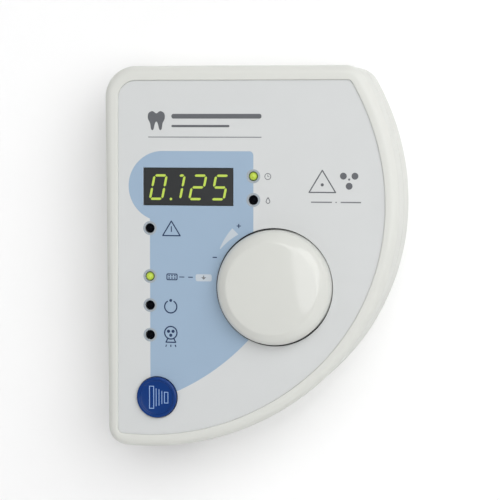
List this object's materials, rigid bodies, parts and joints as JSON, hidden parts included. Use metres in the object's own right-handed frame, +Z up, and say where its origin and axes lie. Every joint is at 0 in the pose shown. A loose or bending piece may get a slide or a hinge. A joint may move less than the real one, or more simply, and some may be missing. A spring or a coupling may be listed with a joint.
{
  "type": "intraoral x-ray wall control unit",
  "caption": "Wall-mounted D-shaped control unit with a numeric display window, indicator lamps, a large turn-and-push knob, an exposure button and a rear cable entry.",
  "frame": {"origin": "on the wall face, the back plane of the case, at the middle of its width and near the middle of its height", "axes": "+Y into the wall, so the front looks along -Y; +Z up; +X to the right as seen from the front"},
  "size_m": [0.1712, 0.0627, 0.2233],
  "materials": {
    "housing": "fine moulded texture",
    "overlay": "satin printed film",
    "smoked": "smoked, glossy",
    "black_plastic": "satin",
    "lamp_lit": "lit lamp lens",
    "lamp_dark": "unlit lamp lens",
    "nylon": "natural nylon",
    "board": "coated board",
    "knob": "semi-gloss moulding",
    "button": "semi-gloss moulding",
    "brass": "turned",
    "steel": "zinc plated",
    "core": "varnished laminations",
    "copper": "taped winding",
    "relay": "moulded cover",
    "can": "sleeved can",
    "terminal": "moulded",
    "rubber": "soft moulded",
    "ribbon": "flat cable insulation",
    "glass": "clear",
    "lead_brown": "wire insulation",
    "lead_blue": "wire insulation"
  },
  "bodies": {
    "case": {"front_housing": "housing", "rear_housing": "housing", "front_overlay": "overlay", "display_window": "smoked", "display_module": "black_plastic", "display_socket": "black_plastic", "led_seconds": "lamp_lit", "led_spacer_seconds": "nylon", "led_dose": "lamp_dark", "led_spacer_dose": "nylon", "led_fault": "lamp_dark", "led_spacer_fault": "nylon", "led_mode": "lamp_lit", "led_spacer_mode": "nylon", "led_ready": "lamp_dark", "led_spacer_ready": "nylon", "led_exposure": "lamp_dark", "led_spacer_exposure": "nylon", "control_board": "board", "microcontroller": "black_plastic", "piezo_buzzer": "black_plastic", "control_board_header": "black_plastic", "power_board_header": "black_plastic", "ribbon_cable": "ribbon", "encoder_body": "black_plastic", "encoder_nut": "steel", "button_retainer": "black_plastic", "exposure_switch_body": "black_plastic", "power_board": "board", "transformer_core": "core", "transformer_coil": "copper", "relay": "relay", "smoothing_capacitor": "can", "fuse_holder": "black_plastic", "fuse": "glass", "terminal_block": "terminal", "mains_switch_body": "black_plastic", "cable_grommet": "rubber", "switch_lead_live": "lead_brown", "switch_lead_neutral": "lead_blue", "case_screw_1": "steel", "case_screw_2": "steel", "case_screw_3": "steel", "case_screw_4": "steel", "board_screw_1": "steel", "board_screw_2": "steel", "board_screw_3": "steel", "board_screw_4": "steel", "power_board_screw_1": "steel", "power_board_screw_2": "steel", "power_board_screw_3": "steel", "power_board_screw_4": "steel"},
    "knob_plunger": {"encoder_plunger": "nylon"},
    "knob": {"control_knob": "knob", "knob_insert": "brass", "encoder_shaft": "steel"},
    "exposure_button": {"exposure_button": "button", "exposure_switch_plunger": "nylon"},
    "mains_rocker": {"mains_rocker": "black_plastic"}
  },
  "joints": [
    {"name": "knob_push", "type": "slide", "parent": "case", "child": "knob_plunger", "axis": [0, 1, 0], "range_m": [0, 0.001], "stiffness_N_per_m": 3000, "springref_m": -0.0005},
    {"name": "knob_spin", "type": "hinge", "parent": "knob_plunger", "child": "knob", "pos_m": [0.0147, -0.05, -0.0158], "axis": [0, -1, 0], "continuous": true},
    {"name": "exposure_button_press", "type": "slide", "parent": "case", "child": "exposure_button", "axis": [0, 1, 0], "range_m": [0, 0.0012], "stiffness_N_per_m": 1500, "springref_m": -0.0008},
    {"name": "mains_rocker_tilt", "type": "hinge", "parent": "case", "child": "mains_rocker", "pos_m": [-0.0575, -0.0115, -0.1068], "axis": [0, 1, 0], "range_deg": [-16, 0]}
  ]
}
